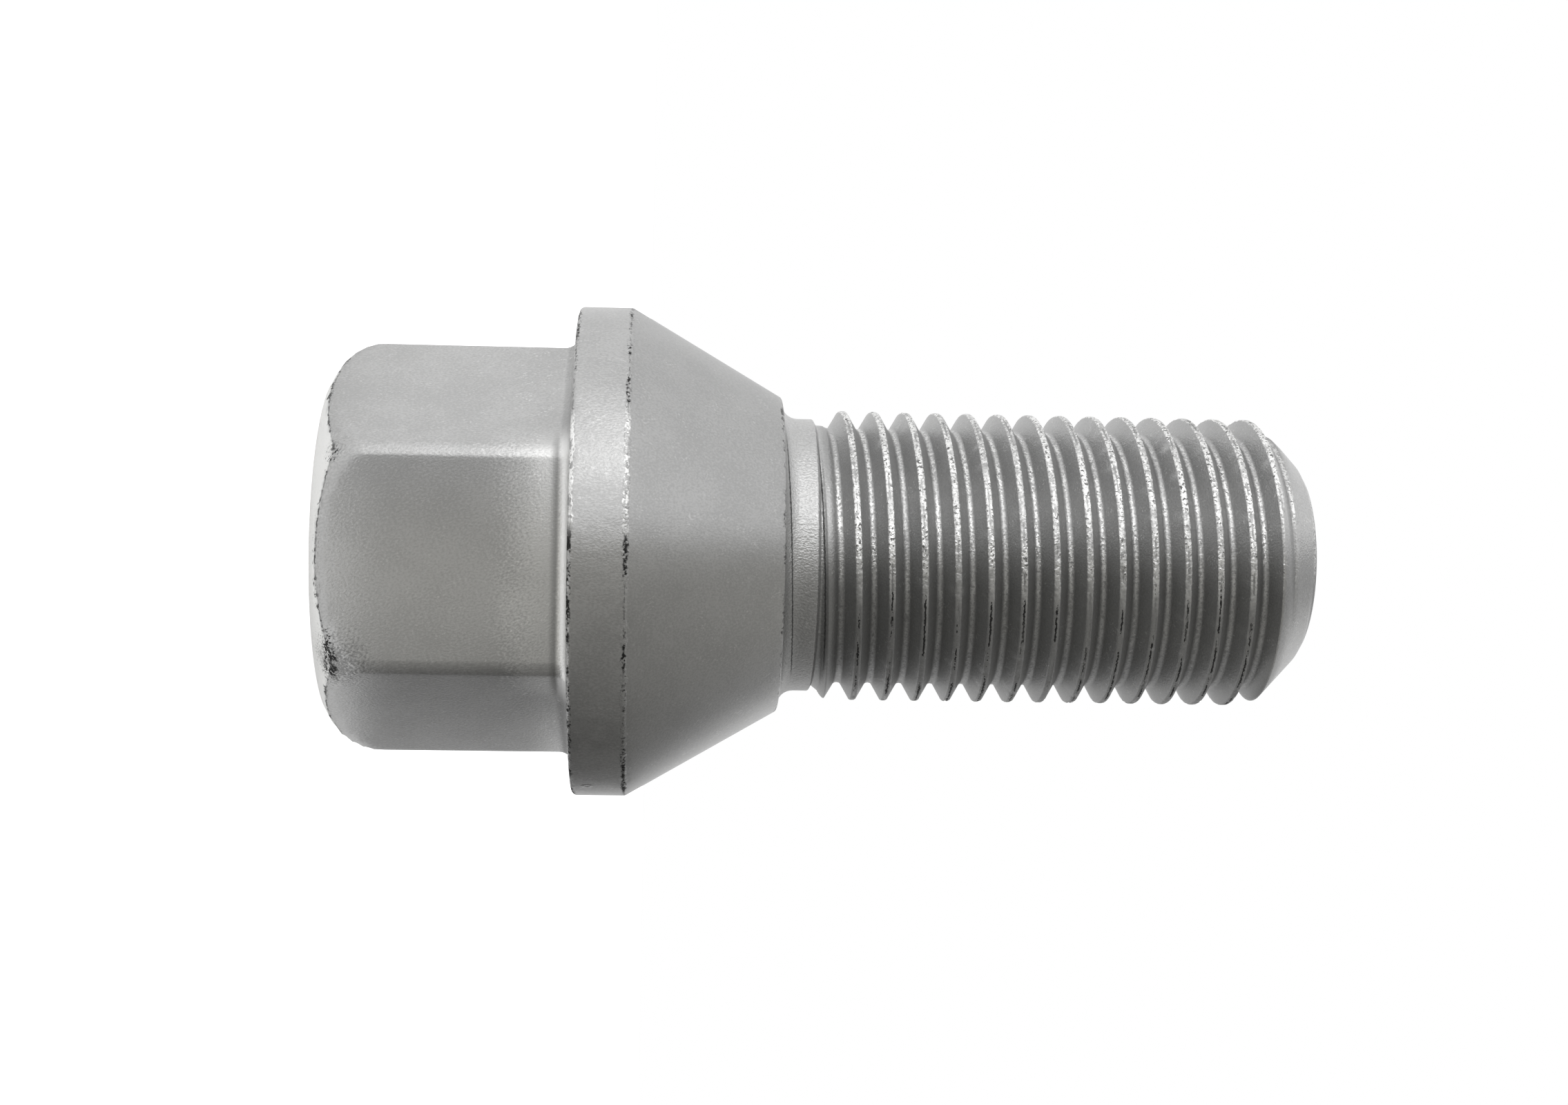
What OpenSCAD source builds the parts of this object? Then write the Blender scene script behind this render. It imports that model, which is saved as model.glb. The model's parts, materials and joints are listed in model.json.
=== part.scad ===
// Wheel bolt with a 60 degree cone seat, one forged piece with a rolled thread.
// It stands on the end of its head, and the thread points up.

/* [Hexagon] */
// Width across the flats, for a 17 mm wrench
hex_across_flats = 17; // [16:0.1:17.5]
// Height of the hexagon, from the head end to the collar
hex_height = 11.4; // [8:0.1:14]
// Radius of the six upright corners
hex_corner_radius = 0.9; // [0.6:0.1:1.4]
// Radius of the fillet where the hexagon meets the collar
hex_root_radius = 0.7; // [0.5:0.1:1.3]

/* [Head end] */
// Diameter of the flat end of the head
head_end_diameter = 15.8; // [14:0.1:16.4]
// Slope of the end chamfer, from the end plane
head_chamfer_angle = 30; // [20:1:40]
// Radius that blends the chamfer into the corners
head_blend_radius = 2.4; // [1:0.1:4]
// Diameter of the forged dish in the head end
dish_diameter = 11; // [8:0.5:12]
// Depth of the forged dish
dish_depth = 0.5; // [0.2:0.1:1.5]

/* [Collar] */
// Diameter of the collar
collar_diameter = 23.2; // [22:0.1:25]
// Width of the collar's rim, along the bolt
collar_width = 2.5; // [1.5:0.1:4]
// Radius of the two edges of the rim
collar_edge_radius = 0.25; // [0.1:0.05:0.5]

/* [Cone seat] */
// Full angle of the seat
seat_angle = 60; // [50:1:90]
// Diameter of the seat's small end
seat_end_diameter = 15; // [14.6:0.1:16]
// Radius of the edge at the seat's small end
seat_edge_radius = 0.2; // [0.1:0.05:0.3]

/* [Shank] */
// Length from the seat's small end to the tip
shank_length = 24.9; // [18:0.1:50]
// Length of the plain neck under the seat
neck_length = 1.5; // [1.2:0.1:4]
// Radius of the fillet between neck and seat
neck_fillet_radius = 0.8; // [0.3:0.1:1]

/* [Thread] */
// Nominal diameter
thread_diameter = 14; // [12:0.5:14]
// Pitch of the single right-hand start
thread_pitch = 1.5; // [1.25:0.25:2]
// How far the crests stay below the nominal diameter, at each side
crest_clearance = 0.07; // [0.02:0.01:0.12]
// Width across the rounded crest
crest_width = 0.26; // [0.15:0.01:0.3]
// Drop of the crest's shoulders below its top
crest_round = 0.07; // [0.03:0.01:0.1]
// Turn of the thread about the axis, against the hexagon
thread_turn = 163; // [0:1:359]

/* [Tip] */
// Diameter of the flat end of the tip
tip_diameter = 9.4; // [8:0.1:10]
// Slope of the tip's chamfer, from the axis
tip_angle = 46; // [30:1:55]

/* [Hidden] */
finish = [0.66, 0.66, 0.64];
circle_steps = 96;
arc_steps = 6;
blend_steps = 8;
turn_steps = 40;
overlap = 0.5;
blend_clearance = 0.02;
least_chamfer = 0.1;
least_flat = 0.05;

hex_corner_reach = hex_across_flats / sqrt(3) - hex_corner_radius * (2 / sqrt(3) - 1);
hex_arc_centre = (hex_across_flats - 2 * hex_corner_radius) / sqrt(3);
collar_top = hex_height + collar_width;
seat_length = (collar_diameter - seat_end_diameter) / 2 / tan(seat_angle / 2);
seat_top = collar_top + seat_length;
tip_top = seat_top + shank_length;
neck_top = seat_top + neck_length;

// Metric profile: rolling moves the metal of the blank from the grooves to the crests
crest_radius = thread_diameter / 2 - crest_clearance;
sharp_height = thread_pitch * sqrt(3) / 2;
blank_radius = thread_diameter / 2 - sharp_height * 3 / 8;
groove_radius = thread_diameter / 2 - sharp_height * 17 / 24;
groove_round = 0.07;
flank_drop = crest_radius - crest_round - groove_radius - groove_round;
flank_end = crest_width / 2 + flank_drop * tan(30);
// Distance along the axis from a crest and radius there, for one pitch
thread_profile = [
    [0, crest_radius],
    [crest_width / 2, crest_radius - crest_round],
    [flank_end, groove_radius + groove_round],
    [thread_pitch / 2, groove_radius],
    [thread_pitch - flank_end, groove_radius + groove_round],
    [thread_pitch - crest_width / 2, crest_radius - crest_round]
];
// The grooves fade out over this length, on a core that starts inside the neck
runout_length = 0.7;
core_radius = groove_radius + 0.15;
core_foot = neck_top - 0.6;
neck_lip = 0.15;
// Fillets are held to the room beside them
root_fillet = min(hex_root_radius, collar_diameter / 2 - collar_edge_radius - hex_corner_reach);

// Points on an arc about a centre, from one angle to another
function arc(centre, radius, from, to, steps = arc_steps) = [
    for (i = [0:steps])
        let (a = from + (to - from) * i / steps)
        centre + radius * [cos(a), sin(a)]
];

function clamp(x, low, high) = min(max(x, low), high);

function apart(a, b, c) = a != b && b != c && c != a;

// Ring of points at a height: the hexagon grown by a margin, two of its flats facing along Y
function hexagon_ring(z, margin) = [
    for (side = [0:5])
        each [
            for (p = arc(
                hex_arc_centre * [cos(60 * side), sin(60 * side)],
                hex_corner_radius + margin, 60 * side - 30, 60 * side + 30
            ))
                [p[0], p[1], z]
        ]
];

// Hexagon with round corners and a fillet round its foot, as one skin over its rings
module hexagon_skin() {
    fillet_end = 100;
    fillet_steps = 5;
    fillet = arc(
        [root_fillet, hex_height - root_fillet],
        root_fillet, 180, fillet_end, fillet_steps
    );
    inside_collar = fillet[fillet_steps] + overlap * [sin(fillet_end), -cos(fillet_end)];
    rings = [
        hexagon_ring(0, 0),
        for (p = fillet) hexagon_ring(p[1], p[0]),
        hexagon_ring(inside_collar[1], inside_collar[0])
    ];
    width = len(rings[0]);
    last = len(rings) - 1;
    sides = [
        for (ring = [0:last - 1], i = [0:width - 1])
            let (
                a = ring * width + i,
                b = ring * width + (i + 1) % width
            )
            each [[a, b + width, b], [a, a + width, b + width]]
    ];
    end_face = [for (i = [0:width - 1]) i];
    collar_face = [for (i = [width - 1:-1:0]) last * width + i];
    polyhedron([for (ring = rings) each ring], concat(sides, [end_face, collar_face]));
}

// Turned outline that chamfers the head end and rounds the hexagon's corners into it
module head_end_outline() {
    end_radius = head_end_diameter / 2;
    reach = hex_corner_reach + blend_clearance;
    blend_turn = 90 - head_chamfer_angle;
    blend_room = (reach - end_radius - least_chamfer) / (1 - cos(blend_turn));
    blend_radius = min(head_blend_radius, blend_room);
    blend_x = reach - blend_radius;
    blend_foot_x = blend_x + blend_radius * cos(blend_turn);
    blend_foot_z = (blend_foot_x - end_radius) * tan(head_chamfer_angle);
    blend_z = blend_foot_z + blend_radius * sin(blend_turn);
    clear = collar_diameter / 2;
    rotate_extrude($fn = circle_steps)
        polygon(concat(
            [[0, 0], [end_radius, 0]],
            arc([blend_x, blend_z], blend_radius, -blend_turn, 0, blend_steps),
            [[clear, blend_z + clear - reach], [clear, collar_top], [0, collar_top]]
        ));
}

module hexagon() {
    intersection() {
        hexagon_skin();
        head_end_outline();
    }
}

// Collar, cone seat and plain neck, turned in one outline
module collar_and_seat() {
    half = seat_angle / 2;
    // Edges of the rim, the upper one round from the rim to the slope of the cone
    rim_x = collar_diameter / 2 - collar_edge_radius;
    lower_edge = [rim_x, hex_height + collar_edge_radius];
    upper_edge = [rim_x, collar_top - collar_edge_radius * tan(half / 2)];
    // Small end of the seat, round from the cone to the flat beside the neck
    end_cut = seat_edge_radius * tan((90 - half) / 2);
    end_x = seat_end_diameter / 2 - end_cut;
    end_edge = [end_x, seat_top - seat_edge_radius];
    neck_fillet = min(neck_fillet_radius, end_x - blank_radius - least_flat);
    fillet_centre = [blank_radius + neck_fillet, seat_top + neck_fillet];
    rotate_extrude($fn = circle_steps)
        polygon(concat(
            [[0, hex_height]],
            arc(lower_edge, collar_edge_radius, -90, 0),
            arc(upper_edge, collar_edge_radius, 0, half),
            arc(end_edge, seat_edge_radius, half, 90),
            arc(fillet_centre, neck_fillet, -90, -180),
            [
                [blank_radius, neck_top],
                [core_radius - neck_lip, neck_top + neck_lip],
                [0, neck_top + neck_lip]
            ]
        ));
}

// Radius of the threaded surface at a height, from the profile's own radius there
function surface_radius(z, profile_radius) =
    let (
        rolled = clamp((z - neck_top) / runout_length, 0, 1),
        chamfered = tip_diameter / 2 + (tip_top - z) * tan(tip_angle)
    )
    min(core_radius + rolled * (profile_radius - core_radius), chamfered);

// Threaded rod as one closed skin. Each row follows the helix, so a row at the
// end of a turn meets the row one pitch higher. Rows past an end lie on its rim.
module threaded_rod() {
    rows_in_pitch = len(thread_profile);
    first_crest = core_foot - 2 * thread_pitch
        + (thread_turn / 360 * thread_pitch + seat_top - core_foot) % thread_pitch;
    turns = ceil((tip_top - core_foot) / thread_pitch) + 3;
    rows = turns * rows_in_pitch;
    snap = thread_pitch / turn_steps / 2;
    points = [
        for (step = [0:turn_steps - 1], row = [0:rows - 1])
            let (
                spot = thread_profile[row % rows_in_pitch],
                turn = floor(row / rows_in_pitch) + step / turn_steps,
                z = first_crest + turn * thread_pitch + spot[0],
                foot = z < core_foot + snap,
                top = z > tip_top - snap,
                r = foot ? core_radius : top ? tip_diameter / 2 : surface_radius(z, spot[1]),
                a = 360 * step / turn_steps
            )
            [r * cos(a), r * sin(a), foot ? core_foot : top ? tip_top : z]
    ];
    function at(step, row) =
        step < turn_steps
            ? step * rows + row
            : min(row + rows_in_pitch, rows - 1);
    sides = [
        for (step = [0:turn_steps - 1], row = [0:rows - 2])
            let (
                a = at(step, row),
                b = at(step + 1, row),
                c = at(step + 1, row + 1),
                d = at(step, row + 1)
            )
            each [[a, c, b], [a, d, c]]
    ];
    // Rows that lie together on a rim leave triangles with no area between them
    faces = [for (f = sides) if (apart(points[f[0]], points[f[1]], points[f[2]])) f];
    foot_rim = [for (step = [0:turn_steps - 1]) at(step, 0)];
    top_rim = [for (step = [turn_steps - 1:-1:0]) at(step, rows - 1)];
    polyhedron(points, concat(faces, [foot_rim, top_rim]));
}

// Shallow dish left by the forging punch, its wall at 45 degrees
module head_dish() {
    mouth = dish_diameter / 2;
    translate([0, 0, -overlap])
        cylinder(
            r1 = mouth + overlap,
            r2 = mouth - dish_depth,
            h = dish_depth + overlap,
            $fn = circle_steps
        );
}

module wheel_bolt() {
    color(finish) {
        difference() {
            union() {
                hexagon();
                collar_and_seat();
                threaded_rod();
            }
            head_dish();
        }
    }
}

wheel_bolt();
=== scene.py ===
import json
import math
import bpy
from mathutils import Matrix, Vector, noise


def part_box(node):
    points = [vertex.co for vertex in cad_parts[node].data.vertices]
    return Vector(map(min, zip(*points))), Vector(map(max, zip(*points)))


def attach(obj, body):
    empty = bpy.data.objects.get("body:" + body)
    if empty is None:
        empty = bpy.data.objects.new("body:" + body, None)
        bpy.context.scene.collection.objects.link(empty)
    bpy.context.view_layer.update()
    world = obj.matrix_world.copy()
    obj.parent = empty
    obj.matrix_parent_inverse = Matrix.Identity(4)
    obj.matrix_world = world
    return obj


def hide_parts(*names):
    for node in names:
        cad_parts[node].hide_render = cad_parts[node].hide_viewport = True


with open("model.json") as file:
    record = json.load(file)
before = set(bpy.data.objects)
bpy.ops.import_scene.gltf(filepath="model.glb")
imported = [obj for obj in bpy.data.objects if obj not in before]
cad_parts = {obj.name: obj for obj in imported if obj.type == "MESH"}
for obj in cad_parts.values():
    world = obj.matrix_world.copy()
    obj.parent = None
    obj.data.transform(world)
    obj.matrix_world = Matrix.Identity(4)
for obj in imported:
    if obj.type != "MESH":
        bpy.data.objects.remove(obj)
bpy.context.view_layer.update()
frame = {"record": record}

mm = 0.001
boltLow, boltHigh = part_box("wheel_bolt")
mountInfo = {m["name"]: m for m in frame["record"]["mounts"]}

# Sizes of the forging in millimetres, angles in degrees; the outer ones come from the frame
boltSize = {
    "total": (boltHigh[2] - boltLow[2]) / mm,
    "collarRadius": min(boltHigh[0], -boltLow[0]) / mm,
    "collarWidth": 2.5,
    "collarEdge": 0.25,
    "hexHeight": mountInfo["wrench_hexagon"]["dims"]["length_mm"],
    "hexAcross": 17.0,
    # from the axis to the narrow band that each corner is cut back to
    "hexReach": 9.64,
    "bandSoftness": 0.03,
    # mesh columns counted from a corner, and where they are drawn to
    "bandColumns": [(0, 0), (1, 1.35), (2, 1.9), (3, 2.9), (4, 4)],
    "hexRoot": 0.7,
    "endRadius": 7.9,
    "endEdge": 0.2,
    "chamferAngle": 30,
    "blendRadius": 2.4,
    "edgeSoftness": 0.04,
    "dishRadius": 5.5,
    "dishDepth": 0.5,
    "dishEdge": 0.3,
    "seatAngle": 30,
    "seatEndRadius": 7.5,
    "seatEdge": 0.2,
    "neckLength": 1.5,
    "neckFillet": 0.8,
    "neckEdge": 0.1,
    "neckLip": 0.15,
}
# Metric thread, its grooves rolled into the blank
threadSize = {
    "nominal": 7.0,
    "crest": mountInfo["thread"]["dims"]["r_mm"],
    "pitch": 1.5,
    "turn": 163,
    "flankAngle": 30,
    "crestHalf": 0.17,
    "crestDrop": 0.09,
    "rootRise": 0.09,
    # points that round the crest and the root, each a distance along the axis and one across it
    "crestRound": [(0.08, 0.005), (0.14, 0.035)],
    "rootRound": (0.07, 0.025),
    "runout": 0.75,
    "coreLift": 0.15,
    "tipRadius": 4.7,
    "tipSlope": 46,
    "tipEdge": 0.3,
    "tipSoftness": 0.08,
    # each ring of the tip's flat end as a share of the one before
    "tipRings": (0.97, 0.8, 0.4),
}
# Mesh steps: columns to a turn, degrees to a step of a bend, and reaches in millimetres
meshSteps = {
    "columns": 288,
    "bendStep": 11,
    "leastBend": 3,
    "weld": 0.002,
    "joinWeld": 0.003,
    "tipReach": 0.001,
    "faceReach": 0.01,
    "heightReach": 1e-4,
}
sharpHeight = threadSize["pitch"] * math.sqrt(3) / 2
blankRadius = threadSize["nominal"] - sharpHeight * 3 / 8
grooveRadius = threadSize["nominal"] - sharpHeight * 17 / 24
coreRadius = grooveRadius + threadSize["coreLift"]
collarTop = boltSize["hexHeight"] + boltSize["collarWidth"]
seatDrop = boltSize["collarRadius"] - boltSize["seatEndRadius"]
seatTop = collarTop + seatDrop / math.tan(math.radians(boltSize["seatAngle"]))
threadFoot = seatTop + boltSize["neckLength"] + boltSize["neckLip"]
# height of a crest on the side that faces along X
crestAt = seatTop + threadSize["turn"] / 360 * threadSize["pitch"]


# Modelling helpers
def selectOnly(piece):
    bpy.ops.object.select_all(action="DESELECT")
    piece.select_set(True)
    bpy.context.view_layer.objects.active = piece


def startOutline(name, point):
    # one loose point, left selected in edit mode
    bpy.ops.object.select_all(action="DESELECT")
    bpy.ops.mesh.primitive_plane_add(size=mm, location=(point[0] * mm, 0, point[1] * mm))
    piece = bpy.context.object
    piece.name = name
    bpy.ops.object.transform_apply(location=True, rotation=True, scale=True)
    bpy.ops.object.mode_set(mode="EDIT")
    bpy.ops.mesh.select_all(action="SELECT")
    bpy.ops.mesh.merge(type="CENTER")
    return piece


def drawOutline(points):
    for last, here in zip(points, points[1:]):
        step = ((here[0] - last[0]) * mm, 0, (here[1] - last[1]) * mm)
        bpy.ops.mesh.extrude_region_move(TRANSFORM_OT_translate={"value": step})


def roundOutline(corners):
    # corners are (x, z, radius, spacing of the rows that lead to it)
    points = [Vector(corners[0][:2])]
    for i, (x, z, radius, spacing) in enumerate(corners[1:], 1):
        corner = Vector((x, z))
        bend = [corner]
        if radius > 0:
            before = (Vector(corners[i - 1][:2]) - corner).normalized()
            after = (Vector(corners[i + 1][:2]) - corner).normalized()
            half = before.angle(after) / 2
            centre = corner + (before + after).normalized() * radius / math.sin(half)
            first = corner + before * radius / math.tan(half) - centre
            last = corner + after * radius / math.tan(half) - centre
            turn = first.angle_signed(last)
            steps = max(meshSteps["leastBend"], round(abs(math.degrees(turn)) / meshSteps["bendStep"]))
            bend = [centre + Matrix.Rotation(-turn * k / steps, 2) @ first for k in range(steps + 1)]
        rows = max(1, math.ceil((bend[0] - points[-1]).length / spacing))
        start = points[-1]
        points += [start.lerp(bend[0], k / rows) for k in range(1, rows + 1)] + bend[1:]
    return [tuple(p) for p in points]


def smoothMin(a, b, soft):
    h = max(soft - abs(a - b), 0) / soft
    return min(a, b) - h * h * soft / 4


def smoothStep(low, high, x):
    t = min(max((x - low) / (high - low), 0), 1)
    return t * t * (3 - 2 * t)


# Forged blank: outline spun round the axis, then pressed to a hexagon
def hexRadius(angle, margin):
    # corners lie at 0, 60, 120 degrees and so on, each cut back to a narrow band
    off = math.radians(abs((math.degrees(angle) + 30) % 60 - 30))
    flat = (boltSize["hexAcross"] / 2 + margin) / math.cos(math.radians(30) - off)
    band = (boltSize["hexReach"] + margin) / math.cos(off)
    return smoothMin(flat, band, boltSize["bandSoftness"])


def blankOutline():
    b = boltSize
    reach = b["hexReach"] + b["edgeSoftness"]
    chamferRise = (reach - b["endRadius"]) * math.tan(math.radians(b["chamferAngle"]))
    # from the dish outwards and up to the thread; the last number spaces the rows that lead to a corner
    return roundOutline([
        (0, b["dishDepth"], 0, 1),
        (b["dishRadius"] - b["dishDepth"], b["dishDepth"], b["dishEdge"], 1.2),
        (b["dishRadius"], 0, b["dishEdge"], 0.2),
        (b["endRadius"], 0, b["endEdge"], 0.3),
        (reach, chamferRise, b["blendRadius"], 0.12),
        (reach, b["hexHeight"], b["hexRoot"], 0.5),
        (b["collarRadius"], b["hexHeight"], b["collarEdge"], 0.2),
        (b["collarRadius"], collarTop, b["collarEdge"], 0.2),
        (b["seatEndRadius"], seatTop, b["seatEdge"], 0.4),
        (blankRadius, seatTop, b["neckFillet"], 0.1),
        (blankRadius, threadFoot - b["neckLip"], b["neckEdge"], 0.12),
        (coreRadius, threadFoot, 0, 0.2),
    ])


def cornerTurn(angle):
    # draws the columns beside a corner to the two borders of its band
    step = math.tau / meshSteps["columns"]
    corner = round(angle / math.radians(60)) * math.radians(60)
    off = (angle - corner) / step
    for (low, lowTo), (high, highTo) in zip(boltSize["bandColumns"], boltSize["bandColumns"][1:]):
        if abs(off) < high:
            off = math.copysign(lowTo + (abs(off) - low) / (high - low) * (highTo - lowTo), off)
            break
    return corner + off * step


def pressHexagon(piece):
    # also notes each point's height over the crease between chamfer and flats
    b = boltSize
    tiny = meshSteps["heightReach"]
    reach = b["hexReach"] + b["edgeSoftness"]
    rootTop = reach + b["hexRoot"]
    rim = b["collarRadius"] - b["collarEdge"]
    crease = piece.data.attributes.new("crease", "FLOAT", "POINT")
    slope = math.tan(math.radians(b["chamferAngle"]))
    for vertex in piece.data.vertices:
        x, y, z = vertex.co / mm
        radius = math.hypot(x, y)
        angle = math.atan2(y, x)
        crease.data[vertex.index].value = z - (hexRadius(angle, 0) - b["endRadius"]) * slope
        if z > b["hexHeight"] + tiny or radius < b["endRadius"] / 2:
            continue
        angle = cornerTurn(angle)
        if z > b["hexHeight"] - tiny and radius > rootTop:
            out = min((radius - rootTop) / (rim - rootTop), 1)
            pressed = hexRadius(angle, b["hexRoot"]) * (1 - out) + radius * out
        elif z > b["hexHeight"] - b["hexRoot"]:
            pressed = hexRadius(angle, radius - reach)
        else:
            pressed = smoothMin(hexRadius(angle, 0), radius, b["edgeSoftness"])
        vertex.co.x = math.cos(angle) * pressed * mm
        vertex.co.y = math.sin(angle) * pressed * mm


def makeBlank():
    outline = blankOutline()
    piece = startOutline("forged_blank", outline[0])
    drawOutline(outline)
    bpy.ops.mesh.select_all(action="SELECT")
    bpy.ops.mesh.spin(steps=meshSteps["columns"], angle=math.tau, center=(0, 0, 0), axis=(0, 0, 1))
    bpy.ops.mesh.select_all(action="SELECT")
    bpy.ops.mesh.remove_doubles(threshold=meshSteps["weld"] * mm)
    bpy.ops.object.mode_set(mode="OBJECT")
    pressHexagon(piece)
    print("blank: rows", len(outline), "points", len(piece.data.vertices))
    return piece


# Rolled thread: one pitch of the profile, screwed up the shank, then cut at the neck and the tip
def pitchOutline(start):
    t = threadSize
    shoulder = t["crest"] - t["crestDrop"]
    rootStart = grooveRadius + t["rootRise"]
    flankFoot = t["crestHalf"] + (shoulder - rootStart) * math.tan(math.radians(t["flankAngle"]))
    half = [(0, t["crest"])]
    half += [(along, t["crest"] - drop) for along, drop in t["crestRound"]]
    half += [
        (t["crestHalf"], shoulder),
        (flankFoot, rootStart),
        (flankFoot + t["rootRound"][0], grooveRadius + t["rootRound"][1]),
    ]
    there = half + [(t["pitch"] / 2, grooveRadius)]
    back = [(t["pitch"] - along, radius) for along, radius in reversed(half)]
    return [(radius, start + along) for along, radius in there + back]


def cutThread(piece):
    t = threadSize
    tip = boltSize["total"]
    snap = t["pitch"] / meshSteps["columns"]
    for vertex in piece.data.vertices:
        x, y, z = vertex.co / mm
        radius = math.hypot(x, y)
        if z < threadFoot + snap:
            z, cut = threadFoot, coreRadius
        elif z > tip - snap:
            z, cut = tip, t["tipRadius"] - t["tipEdge"] / 2
        else:
            rolled = smoothStep(0, t["runout"], z - threadFoot)
            cut = coreRadius + rolled * (radius - coreRadius)
            cone = t["tipRadius"] + (tip - z) * math.tan(math.radians(t["tipSlope"]))
            cone -= t["tipEdge"] / 2 * (1 - smoothStep(0, t["tipEdge"], tip - z))
            cut = smoothMin(cut, cone, t["tipSoftness"])
        vertex.co = Vector((x / radius * cut, y / radius * cut, z)) * mm


def closeTip(piece):
    # the flat end of the tip closes the top rim
    tip = boltSize["total"]
    bpy.ops.mesh.select_all(action="DESELECT")
    bpy.ops.object.mode_set(mode="OBJECT")
    for vertex in piece.data.vertices:
        vertex.select = vertex.co.z > (tip - meshSteps["tipReach"]) * mm
    bpy.ops.object.mode_set(mode="EDIT")
    bpy.ops.mesh.select_mode(type="EDGE")
    for share in threadSize["tipRings"]:
        bpy.ops.mesh.extrude_region_move()
        bpy.ops.transform.resize(value=(share, share, 1), center_override=(0, 0, tip * mm))
    bpy.ops.mesh.merge(type="CENTER")
    bpy.ops.mesh.select_mode(type="VERT")


def makeThread():
    pitch = threadSize["pitch"]
    start = crestAt - pitch * math.ceil((crestAt - threadFoot) / pitch + 1)
    outline = pitchOutline(start)
    piece = startOutline("rolled_thread", outline[0])
    drawOutline(outline)
    bpy.ops.object.mode_set(mode="OBJECT")
    bpy.ops.object.modifier_add(type="SCREW")
    helix = piece.modifiers[-1]
    helix.axis = "Z"
    helix.steps = helix.render_steps = meshSteps["columns"]
    helix.iterations = math.ceil((boltSize["total"] - start) / pitch)
    helix.screw_offset = pitch * mm
    helix.use_merge_vertices = False
    bpy.ops.object.modifier_apply(modifier=helix.name)
    cutThread(piece)
    bpy.ops.object.mode_set(mode="EDIT")
    bpy.ops.mesh.select_all(action="SELECT")
    bpy.ops.mesh.remove_doubles(threshold=meshSteps["weld"] * mm)
    closeTip(piece)
    bpy.ops.object.mode_set(mode="OBJECT")
    print("thread: points", len(piece.data.vertices))
    return piece


def joinBolt(blank, thread):
    selectOnly(blank)
    thread.select_set(True)
    bpy.ops.object.join()
    blank.name = "wheel_bolt_body"
    bpy.ops.object.mode_set(mode="EDIT")
    bpy.ops.mesh.select_all(action="SELECT")
    bpy.ops.mesh.remove_doubles(threshold=meshSteps["joinWeld"] * mm)
    bpy.ops.mesh.normals_make_consistent(inside=False)
    bpy.ops.object.mode_set(mode="OBJECT")
    bpy.ops.object.shade_smooth()
    loose = sum(1 for used in edgeUse(blank) if used != 2)
    print("bolt: triangles", sum(len(p.vertices) - 2 for p in blank.data.polygons), "open edges", loose)
    return blank


def edgeUse(piece):
    used = [0] * len(piece.data.edges)
    for loop in piece.data.loops:
        used[loop.edge_index] += 1
    return used


bolt = joinBolt(makeBlank(), makeThread())

# Handling marks that stand in the metal itself: dents in the rim and the crests, cracks in the crests
handling = {
    "axisReach": 1,
    "rimDepth": 0.07,
    "rimReach": 0.22,
    # scales round the rim, coarse and fine, and the share of the fine one
    "rimNoise": (13, 47, 0.6),
    # factor and shift of the noise, and what is left over 0 makes the dents
    "rimGain": (1.5, -0.05),
    "crestDepth": 0.05,
    "crestBelow": 0.06,
    # scales round and along the thread
    "crestNoise": (22, 1.3),
    "crestGain": (1.6, -0.2),
    "crackDepth": 0.09,
    "crackBelow": 0.003,
    "crackNoise": (5, 0.9),
    "crackShift": 7,
    "crackRange": (0.05, 0.25),
}


def roughAt(way, z, around, along=1, shift=0):
    # noise that runs on round the bolt without a seam
    return noise.noise(way * around + Vector((shift, 0, z * along)))


def markMetal(piece):
    h, b, t = handling, boltSize, threadSize
    rimEdges = (b["hexHeight"], collarTop)
    coarse, fine, fineShare = h["rimNoise"]
    marked = 0
    for vertex in piece.data.vertices:
        x, y, z = vertex.co / mm
        radius = math.hypot(x, y)
        if radius < h["axisReach"]:
            continue
        way = Vector((x, y, 0)) / radius
        dent = 0
        if radius > b["collarRadius"] - 2 * b["collarEdge"]:
            near = max(1 - min(abs(z - edge) for edge in rimEdges) / h["rimReach"], 0)
            rough = roughAt(way, z, coarse) + fineShare * roughAt(way, z, fine)
            dent = h["rimDepth"] * near * max(rough * h["rimGain"][0] + h["rimGain"][1], 0)
        elif z > threadFoot and radius > t["crest"] - h["crestBelow"]:
            rough = roughAt(way, z, *h["crestNoise"])
            dent = h["crestDepth"] * max(rough * h["crestGain"][0] + h["crestGain"][1], 0)
            if radius > t["crest"] - h["crackBelow"]:
                split = roughAt(way, z, *h["crackNoise"], h["crackShift"])
                dent += h["crackDepth"] * smoothStep(*h["crackRange"], split)
        vertex.co.x *= 1 - dent / radius
        vertex.co.y *= 1 - dent / radius
        marked += dent > 0
    print("marks: points", marked)


markMetal(bolt)


# Node helpers: a socket links, anything else becomes the input's own value
def setInputs(tree, node, inputs):
    for key, value in inputs.items():
        if isinstance(value, bpy.types.NodeSocket):
            tree.links.new(value, node.inputs[key])
        else:
            node.inputs[key].default_value = value


def newNode(tree, kind, inputs=(), **settings):
    node = tree.nodes.new("ShaderNode" + kind)
    for name, value in settings.items():
        setattr(node, name, value)
    setInputs(tree, node, inputs if isinstance(inputs, dict) else dict(enumerate(inputs)))
    return node


def calc(tree, operation, *inputs, clamp=False):
    return newNode(tree, "Math", inputs, operation=operation, use_clamp=clamp).outputs[0]


def times(tree, product, *factors):
    for factor in factors:
        product = calc(tree, "MULTIPLY", product, factor)
    return product


def most(tree, highest, *others):
    for other in others:
        highest = calc(tree, "MAXIMUM", highest, other)
    return highest


def minus(tree, value, taken):
    return calc(tree, "SUBTRACT", value, taken)


def timesPlus(tree, value, factor, rest):
    return calc(tree, "MULTIPLY_ADD", value, factor, rest)


def absolute(tree, value):
    return calc(tree, "ABSOLUTE", value)


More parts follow.
